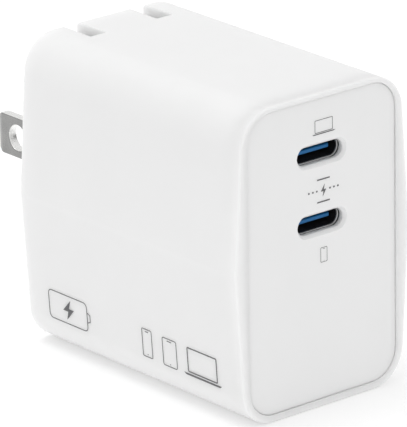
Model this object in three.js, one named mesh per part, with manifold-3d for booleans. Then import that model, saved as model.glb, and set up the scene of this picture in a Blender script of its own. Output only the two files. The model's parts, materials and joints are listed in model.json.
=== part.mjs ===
// Wall charger with two USB-C sockets and folding mains prongs, in millimetres.
// X is across the charger, Y runs from the socket face to the wall, Z is up.
// The origin is the centre of the bottom face of the housing.
import * as THREE from 'three';
import { mergeVertices } from 'three/addons/utils/BufferGeometryUtils.js';
import Module from 'manifold-3d';

const wasm = await Module();
wasm.setup();

// Housing
const HEIGHT = 47.8;
const DEPTH = 49.5;
const CREASE_HALF = 16.6; // half width at mid-height
const END_HALF = 15.0; // half width where the leaning sides would meet the top and bottom
const CORNER_RADIUS = 5.8;
const EDGE_ROUND = 0.6;
const REAR_WALL = 1.6;
const CAVITY = { crease: 14.0, end: 13.2, low: 1.8, radius: 4.0 };

// Front panel: an inset plate with a skirt that goes into the cavity
const PANEL = { half: 14.0, low: 1.2, high: 47.0, radius: 4.5, thickness: 1.8, recess: 0.25 };
const SKIRT = { thickness: 1.2, depth: 3.0 };

// USB-C sockets: each shell ends in a pocket behind its opening in the panel.
// Setbacks are measured from the panel's face to the shell, and from the shell to the tongue.
const SOCKET_HEIGHTS = { upper: 38.6, lower: 28.1 };
const OPENING = { width: 8.6, height: 2.8, depth: 1.2 };
const POCKET = { width: 9.6, height: 3.85 };
const SHELL = { width: 8.94, height: 3.2, wall: 0.3, setback: 1.5 };
const TONGUE = { width: 6.7, thickness: 0.7, setback: 0.7, base: 3.0, root: 1.0 };

// Prongs: the pivot runs along X
const PIVOT_INSET = 3.5; // pivot to the rear face
const PIVOT_Z = 27.0;
const BLADE = { spacing: 12.7, width: 6.35, thickness: 1.5, reach: 17.0, tip: 1.0 };
const BLADE_HOLE = { distance: 12.2, radius: 2.05 };
const TANG = { half: 1.4, shoulder: 1.6, nose: 4.2 };
const SLOT = { width: 2.9, depth: 6.9 };
const HUB = { radius: 3.3, width: 2.5 };
const JOURNAL = { radius: 1.8, clearance: 0.07, end: 10.9 };
const CAM = { half: 1.35, round: 0.5 };

// What holds and feeds the prongs
const CRADLE = { front: 16.0, low: 19.0, window: 4.9, clearance: 0.5 };
const RETAINER = { front: 14.2, thickness: 1.5, half: 11.3, low: 21.5, high: 30.5, corner: 1 };
const FINGER_HALF = 1.2;
const SCREW = { x: 9.6, z: 23.2, shank: 0.9, head: 1.7, headHeight: 1.1, end: 19.5 };
const SCREW_SLOT = { half: 1.2, rise: 0.25, depth: 0.4 };
const STRIP = 0.3; // thickness of the spring strip
const CONTACT = { width: 1.8, clearance: 0.45, rise: 0.8, hook: 1.5, drop: 2.2 };
const DETENT = { offset: 1.85, flat: 2.2, foot: 3.7, half: 1.2 };

// Boards
const BOARD = 1.2;
const MAIN = { x: -9.8, front: -14.2, rear: 12.0, low: 4.0, high: 43.8 };
const USB_BOARD = { setback: 9.0, half: 11.5 };
const HEADER = { height: 2.5, depth: 2.6, z: [6, 16] };

// Transformer
const CORE = { y: -2.5, z: 24, width: 19, height: 17, thickness: 12, leg: 3, centre: 6, back: 3 };
const BOBBIN = { wall: 0.7, reach: 3.1, flange: 0.8, corner: 0.4 };
const WINDING = { inner: 0.85, outer: 2.9 };

// Parts on the main board: "height" is along X, away from the board
const BULK_CAPACITOR = { radius: 4.95, length: 19.5, crimp: 2.5, z: 38.4, lift: 0.5, places: [-8.6, 1.8] };
const BOARD_BLOCKS = {
  x_capacitor: { lift: 0.5, height: 10.5, y: [-11.5, -1], z: [5, 10.2], look: 'tape' },
  fuse: { lift: 0.15, height: 7.5, y: [8, 11.6], z: [17.2, 22.8], look: 'black' },
  bridge_rectifier: { lift: 0.15, height: 9, y: [-11, -1], z: [11.2, 13.4], look: 'black' },
  gan_switch: { lift: 0.15, height: 0.85, y: [3.6, 7.6], z: [17.5, 25.5], look: 'black' },
  optocoupler: { lift: 0.15, height: 2.2, y: [-12.2, -7.6], z: [29.5, 33.2], look: 'black' },
};
const DISCS = {
  varistor: { y: 9.8, z: 26.6, radius: 3.4, thickness: 3 },
  y_capacitor: { y: 9.2, z: 40.5, radius: 3, thickness: 2.8 },
};
const DISC_LEAD = { radius: 0.35, stand: 1.2, overlap: 0.4 };
const CHOKE = { y: 5.2, z: 9.7, outer: 4.6, inner: 2.6, lift: 1.4, width: 5, winding: 0.8, split: 0.35 };

// Parts on the socket board: the two output stages stand side by side
const STAGES = { upper: -6, lower: 6 };
const OUTPUT_CAPACITOR = { radius: 3.15, length: 5.6, crimp: 1.4, z: 10.5, lift: 0.4 };
const OUTPUT_INDUCTOR = { half: 3.3, height: 2.95, z: [15.6, 22.2], corner: 0.8 };
const PD_CONTROLLER = { half: 2.5, height: 0.85, z: [23, 28] };
const SYNC_RECTIFIER = { x: [2, 8], height: 1, z: [15, 20] };

// Heat spreaders against the cavity's sides, with pads to the board and the transformer
const SPREADER = { outer: 12.4, thickness: 0.55, y: [-11, 9], z: [7, 40.8] };
const LEFT_PAD = { y: [-8, 6], z: [12, 36] };
const RIGHT_PAD = { inner: 9.2, y: [-8, 3], z: [18, 30] };
const FILM = { thickness: 0.4, overhang: 1 };

// Insulated leads from the contact springs to the main board
const LEAD_RADIUS = 0.7;

// Gaps between pieces
const GAP = 0.3;
const THIN_GAP = 0.15;
const FIT = 0.1;

const FRONT = -DEPTH / 2;
const REAR = DEPTH / 2;
const PANEL_FACE = FRONT + PANEL.recess;
const PANEL_BACK = PANEL_FACE + PANEL.thickness;
const PIVOT_Y = REAR - PIVOT_INSET;
const BLADE_X = BLADE.spacing / 2;
const TIP_Y = REAR + BLADE.reach;
const USB_BOARD_FACE = FRONT + USB_BOARD.setback;
const USB_BOARD_BACK = USB_BOARD_FACE + BOARD;
const BOARD_FOOT = MAIN.x + THIN_GAP;
const SPRING_TOP = RETAINER.high + CONTACT.rise;
const OVERCUT = 2; // how far cutting tools pass through what they cut

// Sides of round pieces
const FINE = 32;
const MEDIUM = 20;
const COARSE = 12;

const LOOKS = {
  white: { color: 0xf4f4f3, roughness: 0.35, metalness: 0 },
  nickel: { color: 0xa9a9a7, roughness: 0.25, metalness: 1 },
  blue: { color: 0x2f6fae, roughness: 0.45, metalness: 0 },
  black: { color: 0x1b1b1d, roughness: 0.5, metalness: 0 },
  board: { color: 0x1f5a35, roughness: 0.5, metalness: 0 },
  copper: { color: 0xb4683a, roughness: 0.35, metalness: 1 },
  spring: { color: 0xcda85a, roughness: 0.3, metalness: 1 },
  ferrite: { color: 0x3a3a3c, roughness: 0.8, metalness: 0 },
  tape: { color: 0xd8b53a, roughness: 0.4, metalness: 0 },
  can: { color: 0xbfc3c8, roughness: 0.3, metalness: 1 },
  sleeve: { color: 0x23303f, roughness: 0.4, metalness: 0 },
  film: { color: 0xe7e3d4, roughness: 0.3, metalness: 0 },
  pad: { color: 0x9db3c2, roughness: 0.8, metalness: 0 },
  disc: { color: 0x2d6fb0, roughness: 0.3, metalness: 0 },
};

const charger = new THREE.Group();

// Adds one named piece to the charger.
function add(name, shape, look) {
  const geometry = shape.isBufferGeometry ? shape : geometryOf(shape);
  const mesh = new THREE.Mesh(geometry, new THREE.MeshStandardMaterial(LOOKS[look]));
  mesh.name = name;
  charger.add(mesh);
}

// ---- Joining and cutting

function solidOf(geometry) {
  const bare = geometry.clone();
  bare.deleteAttribute('normal');
  bare.deleteAttribute('uv');
  const merged = mergeVertices(bare, 1e-5);
  return new wasm.Manifold(new wasm.Mesh({
    numProp: 3,
    vertProperties: merged.attributes.position.array,
    triVerts: Uint32Array.from(merged.index.array),
  }));
}

function geometryOf(solid) {
  const mesh = solid.getMesh();
  const geometry = new THREE.BufferGeometry();
  geometry.setAttribute('position', new THREE.BufferAttribute(mesh.vertProperties, 3));
  geometry.setIndex(new THREE.BufferAttribute(mesh.triVerts, 1));
  return geometry;
}

function join(first, ...others) {
  return others.reduce((sum, other) => sum.add(solidOf(other)), solidOf(first));
}

function cut(solid, ...tools) {
  return tools.reduce((rest, tool) => rest.subtract(solidOf(tool)), solid);
}

// ---- Outlines

// Outline of a polygon whose corners are rounded: corners are [x, y, radius].
function roundedOutline(corners) {
  const shape = new THREE.Shape();
  corners.forEach(([x, y, radius], i) => {
    const corner = new THREE.Vector2(x, y);
    const before = new THREE.Vector2(...corners.at(i - 1)).sub(corner).normalize();
    const after = new THREE.Vector2(...corners[(i + 1) % corners.length]).sub(corner).normalize();
    const half = Math.acos(THREE.MathUtils.clamp(before.dot(after), -1, 1)) / 2;
    if (radius > 0 && half < Math.PI / 2 - 1e-6) {
      const bisector = before.clone().add(after).normalize();
      const centre = corner.clone().addScaledVector(bisector, radius / Math.sin(half));
      const enter = corner.clone().addScaledVector(before, radius / Math.tan(half)).sub(centre);
      const leave = corner.clone().addScaledVector(after, radius / Math.tan(half)).sub(centre);
      shape.absarc(centre.x, centre.y, radius, enter.angle(), leave.angle(), false);
    } else if (i === 0) {
      shape.moveTo(x, y);
    } else {
      shape.lineTo(x, y);
    }
  });
  return shape;
}

// The charger's section: flat top and bottom, sides that lean in from a crease at mid-height.
function facetedOutline(crease, end, low, high, radius) {
  const middle = (low + high) / 2;
  return roundedOutline([
    [end, high, radius],
    [-end, high, radius],
    [-crease, middle, 0],
    [-end, low, radius],
    [end, low, radius],
    [crease, middle, 0],
  ]);
}

// The housing's cavity, made smaller all round by an inset.
function cavityOutline(inset) {
  return facetedOutline(
    CAVITY.crease - inset,
    CAVITY.end - inset,
    CAVITY.low + inset,
    HEIGHT - CAVITY.low - inset,
    CAVITY.radius - inset,
  );
}

function rectangle(x0, x1, y0, y1, radius = 0) {
  return roundedOutline([[x1, y0, radius], [x1, y1, radius], [x0, y1, radius], [x0, y0, radius]]);
}

// A rectangle with half-round ends, as a socket opening has.
function racetrack(width, height, x, y) {
  const half = width / 2;
  const rise = height / 2;
  const flat = 0.01; // keeps the ends from closing to a point
  return rectangle(x - half, x + half, y - rise, y + rise, rise - flat);
}

// Outline through points, in straight lines.
function polygon(points) {
  return new THREE.Shape(points.map(([x, y]) => new THREE.Vector2(x, y)));
}

// ---- Solids. An outline lies in XZ, YZ or XY, and a span is [from, to].

function alongY(outline, y0, y1, round = 0, segments = 3) {
  const geometry = new THREE.ExtrudeGeometry(outline, {
    depth: y1 - y0 - 2 * round,
    curveSegments: segments,
    bevelEnabled: round > 0,
    bevelThickness: round,
    bevelSize: round,
    bevelOffset: -round,
    bevelSegments: 2,
  });
  return geometry.rotateX(Math.PI / 2).translate(0, y1 - round, 0);
}

function alongX(outline, x0, x1, segments = 3) {
  const geometry = new THREE.ExtrudeGeometry(outline, {
    depth: x1 - x0,
    curveSegments: segments,
    bevelEnabled: false,
  });
  const turn = new THREE.Matrix4().set(0, 0, 1, x0, 1, 0, 0, 0, 0, 1, 0, 0, 0, 0, 0, 1);
  return geometry.applyMatrix4(turn);
}

function alongZ(outline, z0, z1, segments = 3) {
  const geometry = new THREE.ExtrudeGeometry(outline, {
    depth: z1 - z0,
    curveSegments: segments,
    bevelEnabled: false,
  });
  return geometry.translate(0, 0, z0);
}

function block(...spans) {
  const sizes = spans.map(([from, to]) => to - from);
  const middles = spans.map(([from, to]) => (from + to) / 2);
  return new THREE.BoxGeometry(...sizes).translate(...middles);
}

function around(middle, half) {
  return [middle - half, middle + half];
}

function rodX(x0, x1, y, z, radius, sides = MEDIUM) {
  const geometry = new THREE.CylinderGeometry(radius, radius, x1 - x0, sides);
  return geometry.rotateZ(Math.PI / 2).translate((x0 + x1) / 2, y, z);
}

function rodY(y0, y1, x, z, radius, sides = MEDIUM) {
  const geometry = new THREE.CylinderGeometry(radius, radius, y1 - y0, sides);
  return geometry.translate(x, (y0 + y1) / 2, z);
}

// ---- Housing and front panel

function buildHousing() {
  const outline = facetedOutline(CREASE_HALF, END_HALF, 0, HEIGHT, CORNER_RADIUS);
  const opening = rectangle(
    ...around(0, PANEL.half + GAP),
    PANEL.low - GAP,
    PANEL.high + GAP,
    PANEL.radius + GAP,
  );
  const slots = [-BLADE_X, BLADE_X].map((x) => block(
    around(x, SLOT.width / 2),
    [REAR - SLOT.depth, REAR + OVERCUT],
    [PIVOT_Z - HUB.radius - GAP, HEIGHT + OVERCUT],
  ));
  const housing = cut(
    solidOf(alongY(outline, FRONT, REAR, EDGE_ROUND, 4)),
    alongY(cavityOutline(0), FRONT - OVERCUT, REAR - REAR_WALL),
    alongY(opening, FRONT - OVERCUT, PANEL_BACK + GAP),
    ...slots,
  );
  add('housing', housing, 'white');
}

function buildFrontPanel() {
  const plate = rectangle(...around(0, PANEL.half), PANEL.low, PANEL.high, PANEL.radius);
  const skirt = cavityOutline(GAP);
  skirt.holes.push(cavityOutline(GAP + SKIRT.thickness));
  const cutouts = Object.values(SOCKET_HEIGHTS).flatMap((z) => [
    alongY(racetrack(OPENING.width, OPENING.height, 0, z), PANEL_FACE - OVERCUT, PANEL_BACK),
    alongY(racetrack(POCKET.width, POCKET.height, 0, z), PANEL_FACE + OPENING.depth, PANEL_BACK + OVERCUT),
  ]);
  const panel = join(
    alongY(plate, PANEL_FACE, PANEL_BACK),
    alongY(skirt, PANEL_BACK - FIT, PANEL_BACK + SKIRT.depth),
  );
  add('front_panel', cut(panel, ...cutouts), 'white');
}

// ---- Sockets

function buildSockets() {
  const mouth = PANEL_FACE + SHELL.setback;
  const back = USB_BOARD_FACE - GAP;
  const inner = { width: SHELL.width - 2 * SHELL.wall, height: SHELL.height - 2 * SHELL.wall };
  for (const [place, z] of Object.entries(SOCKET_HEIGHTS)) {
    const shell = racetrack(SHELL.width, SHELL.height, 0, z);
    shell.holes.push(racetrack(inner.width, inner.height, 0, z));
    add(`usb_shell_${place}`, alongY(shell, mouth, back, 0, 4), 'nickel');
    const base = racetrack(inner.width - 2 * FIT, inner.height - 2 * FIT, 0, z);
    const tongue = block(
      around(0, TONGUE.width / 2),
      [mouth + TONGUE.setback, back - TONGUE.root],
      around(z, TONGUE.thickness / 2),
    );
    add(`usb_tongue_${place}`, join(alongY(base, back - TONGUE.base, back), tongue), 'blue');
  }
}

// ---- Prongs

// One blade: a wide strip with a round hole and a narrow tang that passes through the hub.
function bladeOutline() {
  const half = BLADE.width / 2;
  const shoulder = PIVOT_Y + TANG.shoulder;
  const nose = PIVOT_Y - TANG.nose;
  const upper = [
    [TIP_Y, half - BLADE.tip / 2],
    [TIP_Y - BLADE.tip, half],
    [shoulder, half],
    [shoulder, TANG.half],
    [nose, TANG.half],
  ];
  const lower = [...upper].reverse().map(([y, rise]) => [y, -rise]);
  const outline = polygon([...upper, ...lower].map(([y, rise]) => [y, PIVOT_Z + rise]));
  const hole = new THREE.Path();
  hole.absarc(REAR + BLADE_HOLE.distance, PIVOT_Z, BLADE_HOLE.radius, 0, 2 * Math.PI, true);
  outline.holes.push(hole);
  return outline;
}

function buildBlades() {
  for (const [side, x] of [['left', -BLADE_X], ['right', BLADE_X]]) {
    add(`blade_${side}`, alongX(bladeOutline(), ...around(x, BLADE.thickness / 2), 10), 'nickel');
  }
}

// The moulded shaft: a cam between two hubs, each with a journal outside it and grooves for its blade.
function buildCarrier() {
  const inner = BLADE_X - HUB.width / 2;
  const outer = BLADE_X + HUB.width / 2;
  const cam = rectangle(...around(PIVOT_Y, CAM.half), ...around(PIVOT_Z, CAM.half), CAM.round);
  const parts = [alongX(cam, -inner - FIT, inner + FIT, 2)];
  const grooves = [];
  const step = PIVOT_Y + TANG.shoulder;
  const reach = HUB.radius + OVERCUT;
  for (const side of [-1, 1]) {
    const span = (a, b) => (side > 0 ? [a, b] : [-b, -a]);
    parts.push(rodX(...span(inner, outer), PIVOT_Y, PIVOT_Z, HUB.radius, FINE));
    parts.push(rodX(...span(outer - FIT, JOURNAL.end), PIVOT_Y, PIVOT_Z, JOURNAL.radius));
    const width = around(side * BLADE_X, BLADE.thickness / 2 + FIT);
    grooves.push(block(width, [PIVOT_Y - reach, step], around(PIVOT_Z, TANG.half + FIT)));
    grooves.push(block(width, [step - FIT, PIVOT_Y + reach], around(PIVOT_Z, BLADE.width / 2 + reach)));
  }
  add('prong_carrier', cut(join(...parts), ...grooves), 'white');
}

// ---- What holds and feeds the prongs

// Moulded block that closes the back of the cavity, with a well for each blade and seats for the shaft.
function buildCradle() {
  const back = REAR - REAR_WALL - GAP;
  const above = block(around(0, CREASE_HALF), [0, REAR], [CRADLE.low, HEIGHT]);
  const body = solidOf(alongY(cavityOutline(GAP), CRADLE.front, back)).intersect(solidOf(above));
  const seat = JOURNAL.radius + JOURNAL.clearance;
  const seatSpan = around(0, JOURNAL.end + FIT);
  const mouth = CRADLE.front - OVERCUT;
  const tools = [
    rodX(...seatSpan, PIVOT_Y, PIVOT_Z, seat, 24),
    block(seatSpan, [mouth, PIVOT_Y], around(PIVOT_Z, seat)),
  ];
  const sweep = TANG.nose + CRADLE.clearance;
  const pilot = SCREW.shank + THIN_GAP;
  for (const side of [-1, 1]) {
    const well = around(side * BLADE_X, SLOT.width / 2);
    tools.push(block(well, [REAR - SLOT.depth, REAR], [PIVOT_Z, HEIGHT]));
    tools.push(rodX(...well, PIVOT_Y, PIVOT_Z, sweep, 24));
    tools.push(block(well, [mouth, PIVOT_Y - JOURNAL.radius], [PIVOT_Z - sweep, PIVOT_Z + CRADLE.window]));
    tools.push(rodY(mouth, SCREW.end + GAP, side * SCREW.x, SCREW.z, pilot, COARSE));
  }
  add('prong_cradle', cut(body, ...tools), 'white');
}

// Plate across the front of the cradle, with a finger that closes each journal's seat.
function buildRetainer() {
  const back = RETAINER.front + RETAINER.thickness;
  const plate = rectangle(...around(0, RETAINER.half), RETAINER.low, RETAINER.high, RETAINER.corner);
  const parts = [alongY(plate, RETAINER.front, back)];
  const holes = [];
  const fingerX = (BLADE_X + HUB.width / 2 + JOURNAL.end) / 2;
  const fingerReach = PIVOT_Y - JOURNAL.radius - FIT;
  for (const side of [-1, 1]) {
    const finger = around(side * fingerX, FINGER_HALF);
    parts.push(block(finger, [back - FIT, fingerReach], around(PIVOT_Z, JOURNAL.radius - FIT)));
    const hole = SCREW.shank + THIN_GAP;
    holes.push(rodY(RETAINER.front - OVERCUT, back + OVERCUT, side * SCREW.x, SCREW.z, hole, COARSE));
  }
  add('shaft_retainer', cut(join(...parts), ...holes), 'black');
}

function buildScrews() {
  const seat = RETAINER.front - THIN_GAP;
  const top = seat - SCREW.headHeight;
  for (const [side, x] of [['left', -SCREW.x], ['right', SCREW.x]]) {
    const head = rodY(top, seat, x, SCREW.z, SCREW.head, 16);
    const shank = rodY(seat - FIT, SCREW.end, x, SCREW.z, SCREW.shank, COARSE);
    const slot = block(
      around(x, SCREW_SLOT.half),
      [top - FIT, top + SCREW_SLOT.depth],
      around(SCREW.z, SCREW_SLOT.rise),
    );
    add(`retainer_screw_${side}`, cut(join(head, shank), slot), 'nickel');
  }
}

// A contact strip stands in front of each blade's nose, and hooks over the top of the retainer.
function buildContactSprings() {
  const face = PIVOT_Y - TANG.nose - CONTACT.clearance;
  const hook = RETAINER.front - CONTACT.hook;
  const low = PIVOT_Z - CONTACT.drop;
  const strip = polygon([
    [face, low],
    [face, SPRING_TOP],
    [hook, SPRING_TOP],
    [hook, SPRING_TOP - STRIP],
    [face - STRIP, SPRING_TOP - STRIP],
    [face - STRIP, low],
  ]);
  for (const [side, x] of [['left', -BLADE_X], ['right', BLADE_X]]) {
    add(`contact_spring_${side}`, alongX(strip, ...around(x, CONTACT.width / 2)), 'spring');
  }
}

// A bent leaf stands in front of the shaft's cam, with its feet on the retainer.
function buildDetentSpring() {
  const crown = PIVOT_Y - DETENT.offset;
  const foot = RETAINER.front + RETAINER.thickness + THIN_GAP;
  const right = [
    [DETENT.flat - STRIP, crown - STRIP],
    [DETENT.foot - STRIP, foot],
    [DETENT.foot, foot],
    [DETENT.flat, crown],
  ];
  const left = [...right].reverse().map(([x, y]) => [-x, y]);
  add('detent_spring', alongZ(polygon([...right, ...left]), ...around(PIVOT_Z, DETENT.half)), 'spring');
}

// ---- Electronics

function buildBoards() {
  const rise = [MAIN.low, MAIN.high];
  add('main_board', block([MAIN.x - BOARD, MAIN.x], [MAIN.front, MAIN.rear], rise), 'board');
  add('usb_board', block(around(0, USB_BOARD.half), [USB_BOARD_FACE, USB_BOARD_BACK], rise), 'board');
  const header = block(
    [BOARD_FOOT, MAIN.x + HEADER.height],
    [USB_BOARD_BACK + THIN_GAP, USB_BOARD_BACK + HEADER.depth],
    HEADER.z,
  );
  add('board_link_header', header, 'black');
}

// E-shaped ferrite half: its back lies at the bottom, or at the top when it is turned over.
function coreOutline(up) {
  const half = CORE.width / 2;
  const outer = CORE.z + up * (CORE.height / 2);
  const floor = outer - up * CORE.back;
  const meet = CORE.z + up * THIN_GAP;
  const right = [
    [half, outer],
    [half, meet],
    [half - CORE.leg, meet],
    [half - CORE.leg, floor],
    [CORE.centre / 2, floor],
    [CORE.centre / 2, meet],
  ];
  const left = [...right].reverse().map(([y, z]) => [-y, z]);
  const outline = [...right, ...left].map(([y, z]) => [CORE.y + y, z]);
  return polygon(up > 0 ? outline.reverse() : outline);
}

// A rectangular tube's section round the core's centre leg.
function coilOutline(outset, inset) {
  const halfX = CORE.thickness / 2;
  const halfY = CORE.centre / 2;
  const shape = rectangle(...around(0, halfX + outset), ...around(CORE.y, halfY + outset), BOBBIN.corner);
  shape.holes.push(rectangle(...around(0, halfX + inset), ...around(CORE.y, halfY + inset)));
  return shape;
}

function buildTransformer() {
  const halfX = CORE.thickness / 2;
  add('transformer_core_lower', alongX(coreOutline(-1), -halfX, halfX), 'ferrite');
  add('transformer_core_upper', alongX(coreOutline(1), -halfX, halfX), 'ferrite');
  const [low, high] = around(CORE.z, CORE.height / 2 - CORE.back - GAP);
  const flange = coilOutline(BOBBIN.reach, THIN_GAP);
  const bobbin = join(
    alongZ(coilOutline(BOBBIN.wall, THIN_GAP), low, high),
    alongZ(flange, low, low + BOBBIN.flange),
    alongZ(flange, high - BOBBIN.flange, high),
  );
  add('transformer_bobbin', bobbin, 'black');
  const turns = coilOutline(WINDING.outer, WINDING.inner);
  const inset = BOBBIN.flange + FIT;
  add('transformer_winding', alongZ(turns, low + inset, high - inset), 'tape');
}

// Electrolytic can standing on its foot, with the crimp near the foot.
function canGeometry({ radius, length, crimp }) {
  const edge = 0.4;
  const profile = [
    [0, 0],
    [radius - edge, 0],
    [radius, edge],
    [radius, crimp - edge],
    [radius - edge, crimp],
    [radius, crimp + edge],
    [radius, length - edge],
    [radius - edge, length],
    [0, length],
  ];
  return new THREE.LatheGeometry(profile.map(([r, h]) => new THREE.Vector2(r, h)), MEDIUM);
}

function buildCapacitors() {
  const bulk = BULK_CAPACITOR;
  bulk.places.forEach((y, i) => {
    const can = canGeometry(bulk).rotateZ(-Math.PI / 2).translate(MAIN.x + bulk.lift, y, bulk.z);
    add(`bulk_capacitor_${i + 1}`, can, 'sleeve');
  });
  const small = OUTPUT_CAPACITOR;
  for (const [place, x] of Object.entries(STAGES)) {
    const can = canGeometry(small).rotateX(Math.PI).translate(x, USB_BOARD_FACE - small.lift, small.z);
    add(`output_capacitor_${place}`, can, 'can');
  }
}

// A round disc on two straight leads, standing on the main board.
function leadedDisc({ y, z, radius, thickness }) {
  const x = MAIN.x + DISC_LEAD.stand + radius;
  const leads = [-1, 1].map((side) => (
    rodX(BOARD_FOOT, x + DISC_LEAD.overlap, y, z + (side * radius) / 2, DISC_LEAD.radius, 6)
  ));
  return join(rodY(...around(y, thickness / 2), x, z, radius), ...leads);
}

function buildMainBoardParts() {
  for (const [name, disc] of Object.entries(DISCS)) {
    add(name, leadedDisc(disc), 'disc');
  }
  for (const [name, { lift, height, y, z, look }] of Object.entries(BOARD_BLOCKS)) {
    const foot = MAIN.x + lift;
    add(name, block([foot, foot + height], y, z), look);
  }
}

function buildSocketBoardParts() {
  const back = USB_BOARD_BACK + THIN_GAP;
  const front = USB_BOARD_FACE - THIN_GAP;
  const sync = SYNC_RECTIFIER;
  add('sync_rectifier', block(sync.x, [back, back + sync.height], sync.z), 'black');
  for (const [place, x] of Object.entries(STAGES)) {
    const chip = PD_CONTROLLER;
    const body = block(around(x, chip.half), [back, back + chip.height], chip.z);
    add(`pd_controller_${place}`, body, 'black');
    const coil = OUTPUT_INDUCTOR;
    const outline = rectangle(...around(x, coil.half), ...coil.z, coil.corner);
    add(`output_inductor_${place}`, alongY(outline, front - coil.height, front, 0, 2), 'ferrite');
  }
}

// Toroidal choke: a ferrite ring with a winding on each half.
function buildChoke() {
  const ring = (outer, inner) => {
    const shape = new THREE.Shape().absarc(CHOKE.y, CHOKE.z, outer, 0, 2 * Math.PI, false);
    shape.holes.push(new THREE.Path().absarc(CHOKE.y, CHOKE.z, inner, 0, 2 * Math.PI, true));
    return shape;
  };
  const x0 = MAIN.x + CHOKE.lift;
  const x1 = x0 + CHOKE.width;
  const wall = CHOKE.winding;
  add('choke_core', alongX(ring(CHOKE.outer, CHOKE.inner), x0, x1, 10), 'ferrite');
  const hollow = alongX(ring(CHOKE.outer + FIT, CHOKE.inner - FIT), x0 - FIT, x1 + FIT, 10);
  for (const [half, turn] of [['a', 0], ['b', Math.PI]]) {
    const start = turn + CHOKE.split;
    const end = turn + Math.PI - CHOKE.split;
    const sector = new THREE.Shape();
    sector.absarc(CHOKE.y, CHOKE.z, CHOKE.outer + wall, start, end, false);
    sector.absarc(CHOKE.y, CHOKE.z, CHOKE.inner - wall, end, start, true);
    sector.closePath();
    const winding = cut(solidOf(alongX(sector, x0 - wall, x1 + wall, 5)), hollow);
    add(`choke_winding_${half}`, winding, 'copper');
  }
}

// ---- Heat path, insulation and leads

function buildHeatPath() {
  const { outer, thickness, y, z } = SPREADER;
  const inner = outer - thickness;
  add('heat_spreader_left', block([-outer, -inner], y, z), 'can');
  add('heat_spreader_right', block([inner, outer], y, z), 'can');
  const boardBack = MAIN.x - BOARD - THIN_GAP;
  add('thermal_pad_left', block([THIN_GAP - inner, boardBack], LEFT_PAD.y, LEFT_PAD.z), 'pad');
  const right = [RIGHT_PAD.inner, inner - THIN_GAP];
  add('thermal_pad_right', block(right, RIGHT_PAD.y, RIGHT_PAD.z), 'pad');
}

function buildFilm() {
  const outline = cavityOutline(GAP);
  outline.holes.push(cavityOutline(GAP + FILM.thickness));
  const front = PANEL_BACK + SKIRT.depth + GAP;
  add('insulating_film', alongY(outline, front, MAIN.rear + FILM.overhang), 'film');
}

// A round tube of insulation along a smooth curve through the points.
function lead(points) {
  const path = new THREE.CatmullRomCurve3(points.map((point) => new THREE.Vector3(...point)));
  const section = new THREE.Shape().absarc(0, 0, LEAD_RADIUS, 0, 2 * Math.PI, false);
  return new THREE.ExtrudeGeometry(section, { steps: 16, curveSegments: 4, extrudePath: path });
}

// Each lead starts on its contact spring's hook and ends beside the main board.
function buildLeads() {
  const z = SPRING_TOP + LEAD_RADIUS + THIN_GAP;
  const line = [
    [-BLADE_X, 15.4, z],
    [-BLADE_X, 13.4, z],
    [-7.4, 11.6, 32.0],
    [-9.0, 11.0, 31.6],
  ];
  const neutral = [
    [BLADE_X, 15.4, z],
    [6.1, 13.4, z + 0.6],
    [1.5, 13.0, 34.8],
    [-4.5, 12.6, 35.6],
    [-7.4, 11.6, 35.8],
    [-9.0, 11.2, 35.8],
  ];
  add('wire_line', lead(line), 'black');
  add('wire_neutral', lead(neutral), 'white');
}

buildHousing();
buildFrontPanel();
buildSockets();
buildBlades();
buildCarrier();
buildCradle();
buildRetainer();
buildScrews();
buildContactSprings();
buildDetentSpring();
buildBoards();
buildTransformer();
buildCapacitors();
buildMainBoardParts();
buildSocketBoardParts();
buildChoke();
buildHeatPath();
buildFilm();
buildLeads();

export default charger;
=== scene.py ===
"""Wall charger with two USB-C sockets and folding mains prongs, built around its CAD frame."""
import json
import math

import bmesh
import bpy
from mathutils import Matrix, Vector


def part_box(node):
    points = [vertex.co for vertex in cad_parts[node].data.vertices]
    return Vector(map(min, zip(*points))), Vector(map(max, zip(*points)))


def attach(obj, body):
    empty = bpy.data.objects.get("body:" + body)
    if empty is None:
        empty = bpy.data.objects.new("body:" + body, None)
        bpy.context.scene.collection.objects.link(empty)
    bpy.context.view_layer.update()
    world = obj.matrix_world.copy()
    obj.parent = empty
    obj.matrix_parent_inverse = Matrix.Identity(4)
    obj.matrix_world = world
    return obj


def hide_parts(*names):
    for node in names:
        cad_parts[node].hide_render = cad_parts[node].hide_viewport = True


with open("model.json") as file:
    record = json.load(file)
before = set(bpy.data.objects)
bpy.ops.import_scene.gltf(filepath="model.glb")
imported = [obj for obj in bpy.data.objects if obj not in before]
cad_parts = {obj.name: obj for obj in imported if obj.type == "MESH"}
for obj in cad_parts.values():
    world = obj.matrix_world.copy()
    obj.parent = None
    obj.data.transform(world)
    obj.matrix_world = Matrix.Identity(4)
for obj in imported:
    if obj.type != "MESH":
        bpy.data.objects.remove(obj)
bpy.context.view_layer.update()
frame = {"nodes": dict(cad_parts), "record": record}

MM = 0.001

# Places and sizes that the frame gives
HOUSE_LOW, HOUSE_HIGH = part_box("housing")
PANEL_LOW, PANEL_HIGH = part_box("front_panel")
BLADE_LOW, BLADE_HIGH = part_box("blade_right")
HUB_LOW, HUB_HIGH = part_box("prong_carrier")
FRONT, REAR = HOUSE_LOW.y, HOUSE_HIGH.y
HEIGHT = HOUSE_HIGH.z
CREASE = HOUSE_HIGH.x
PIVOT_Y = (HUB_LOW.y + HUB_HIGH.y) / 2
PIVOT_Z = (HUB_LOW.z + HUB_HIGH.z) / 2
BLADE_X = (BLADE_LOW.x + BLADE_HIGH.x) / 2

# Camera
LENS, SENSOR = 467.08, 36.0
AZIMUTH, ELEVATION, ROLL = -39.846, 19.787, -0.899
DISTANCE = 817.92 * MM
TARGET = Vector((2.32, 4.79, 21.19)) * MM

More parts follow.
